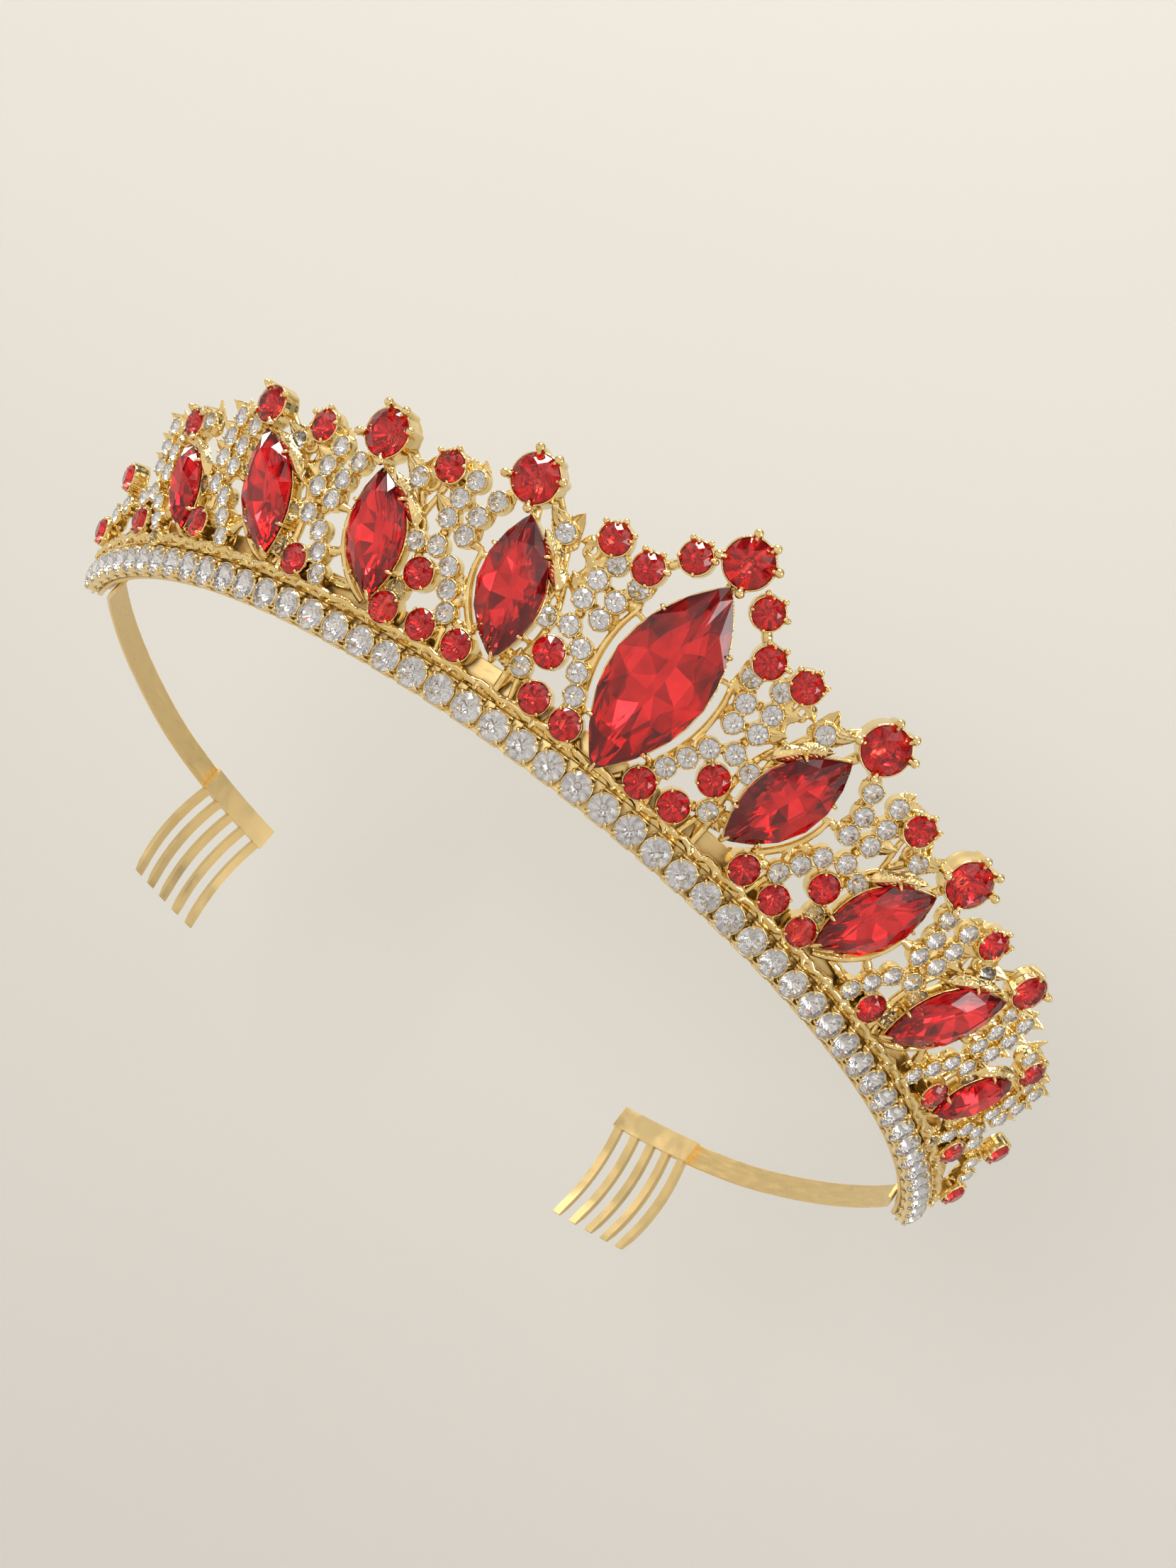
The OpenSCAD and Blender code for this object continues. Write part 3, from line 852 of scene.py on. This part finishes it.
def tiara():
    for side in SIDES:
        for j in SPRAYS:
            spray(side, j)
        for k in NAVETTES:
            setting(f"setting_{side}_{k}_cast", side, k, f"setting_{side}_{k}")
    setting("centre_setting_cast", "right", 0, "centre_setting")
    rail_piece()
    chain()
    for name, nodes in (("crystals_left", [f"crystals_left_{j}" for j in SPRAYS]),
                        ("crystals_right", [f"crystals_right_{j}" for j in SPRAYS]),
                        ("chain_gems", ["chain_stones"])):
        stones(name, nodes, [CLEAR_GLASS, CLEAR_FOIL], "clear_glass")
    for name, nodes in (("crest_gems", ["crest_stones"]), ("arch_gems", ["arch_stones"]),
                        ("valley_gems", ["valley_stones"]), ("low_gems_left", ["low_stones_left"]),
                        ("low_gems_right", ["low_stones_right"])):
        stones(name, nodes, [RED_GLASS, RED_FOIL], "red_glass")
    for node in ["centre_navette"] + [f"navette_{s}_{k}" for s in SIDES for k in NAVETTES]:
        builder = Builder()
        seat = navette_seat(node)
        navette_stone(builder, seat, *seat.size)
        finish_piece(builder.make(node + "_gem", [RED_GLASS, RED_FOIL]), "red_glass", node)
    softened("base_strip", STRIP, "strip_gold", 0.15)
    softened("headband", STRIP, "strip_gold", 0.2)
    for side in SIDES:
        softened(f"arm_{side}", STRIP, "strip_gold", 0.22)
        softened(f"comb_{side}", COMB, "comb_gold", 0.25)


# ---------------------------------------------------------------- stage, light and camera

def one_sided(name, color):
    """Matt paper that is only there when seen from its front."""
    m, shader = principled(name, color, roughness=0.9)
    tree = m.node_tree
    side = tree.nodes.new("ShaderNodeNewGeometry")
    clear = tree.nodes.new("ShaderNodeBsdfTransparent")
    mix = tree.nodes.new("ShaderNodeMixShader")
    tree.links.new(side.outputs["Backfacing"], mix.inputs[0])
    tree.links.new(shader.outputs[0], mix.inputs[1])
    tree.links.new(clear.outputs[0], mix.inputs[2])
    tree.links.new(mix.outputs[0], tree.nodes["Material Output"].inputs["Surface"])
    return m


def panel(name, centre, normal, size, material):
    mesh = bpy.data.meshes.new(name)
    q = Vector(normal).to_track_quat("Z", "Y")
    corners = [q @ Vector((x * size / 2, y * size / 2, 0)) + Vector(centre)
               for x, y in ((-1, -1), (1, -1), (1, 1), (-1, 1))]
    mesh.from_pydata(corners, [], [(0, 1, 2, 3)])
    mesh.materials.append(material)
    piece = bpy.data.objects.new(name, mesh)
    piece.visible_diffuse = False
    piece.visible_shadow = False
    bpy.context.scene.collection.objects.link(piece)


def area_light(name, place, target, size, watts, color=(1, 1, 1)):
    data = bpy.data.lights.new(name, "AREA")
    data.shape = "DISK"
    data.size = size
    data.energy = watts
    data.color = color
    lamp = bpy.data.objects.new(name, data)
    lamp.location = place
    lamp.rotation_euler = (Vector(target) - Vector(place)).to_track_quat("-Z", "Y").to_euler()
    bpy.context.scene.collection.objects.link(lamp)


def world():
    """A room lit from high on the left, dim below, with patches for the stones to mirror."""
    w = bpy.data.worlds.new("room")
    bpy.context.scene.world = w
    w.use_nodes = True
    tree = w.node_tree
    where = tree.nodes.new("ShaderNodeTexCoord")
    window = tree.nodes.new("ShaderNodeVectorMath")
    window.operation = "DOT_PRODUCT"
    window.inputs[1].default_value = (-0.55, 0.05, 0.83)
    fall = tree.nodes.new("ShaderNodeMapRange")
    fall.interpolation_type = "SMOOTHSTEP"
    fall.inputs["From Min"].default_value = -0.75
    fall.inputs["From Max"].default_value = 0.85
    fall.inputs["To Min"].default_value = 0.5
    fall.inputs["To Max"].default_value = 1.3
    patches = tree.nodes.new("ShaderNodeTexNoise")
    patches.inputs["Scale"].default_value = 3.2
    patches.inputs["Detail"].default_value = 2
    spots = tree.nodes.new("ShaderNodeMapRange")
    spots.inputs["From Min"].default_value = 0.42
    spots.inputs["From Max"].default_value = 0.6
    spots.inputs["To Min"].default_value = 0.12
    spots.inputs["To Max"].default_value = 1.6
    product = tree.nodes.new("ShaderNodeMath")
    product.operation = "MULTIPLY"
    back = tree.nodes["Background"]
    back.inputs["Color"].default_value = (1.0, 0.965, 0.92, 1)
    link = tree.links.new
    link(where.outputs["Generated"], window.inputs[0])
    link(window.outputs["Value"], fall.inputs["Value"])
    link(where.outputs["Generated"], patches.inputs["Vector"])
    link(patches.outputs["Fac"], spots.inputs["Value"])
    link(fall.outputs["Result"], product.inputs[0])
    link(spots.outputs["Result"], product.inputs[1])
    link(product.outputs[0], back.inputs["Strength"])


def camera():
    """Below the band and in front of it, looking up, rolled as the tiara is held askew."""
    data = bpy.data.cameras.new("camera")
    data.lens = 60.8
    data.sensor_width = 36
    data.clip_start = 0.01
    cam = bpy.data.objects.new("camera", data)
    azimuth, elevation, roll = math.radians(0.84), math.radians(17.95), math.radians(38.17)
    forward = Vector((-math.sin(azimuth) * math.cos(elevation), math.cos(azimuth) * math.cos(elevation),
                      math.sin(elevation)))
    level = forward.to_track_quat("-Z", "Y").to_matrix()
    cam.matrix_world = (Matrix.Translation((0.0062, -0.4426, -0.1139))
                        @ (level @ Matrix.Rotation(roll, 3, "Z")).to_4x4())
    bpy.context.scene.collection.objects.link(cam)
    bpy.context.scene.camera = cam


def stage():
    floor_height = cad_box[0][2] - MM
    panel("floor", (0, 0, floor_height), (0, 0, 1), 6, one_sided("floor_paper", (0.42, 0.40, 0.365)))
    panel("backdrop", (0, 0.16, 0.1), (0.05, -0.93, -0.36), 8, one_sided("wall_paper", (0.60, 0.58, 0.535)))
    area_light("key", (-0.5, -0.5, 0.7), (0, -0.05, 0), 0.4, 8.5, (1, 0.98, 0.95))
    area_light("fill", (0.7, -0.6, 0.1), (0, -0.05, 0), 0.4, 2)
    area_light("front", (-0.25, -0.9, -0.25), (0, -0.05, 0), 0.35, 3.5, (1, 0.99, 0.97))
    area_light("rim", (0.1, 0.3, 0.6), (0, -0.05, 0), 0.4, 3)
    world()
    bpy.context.scene.view_settings.view_transform = "Standard"


camera()
stage()
tiara()
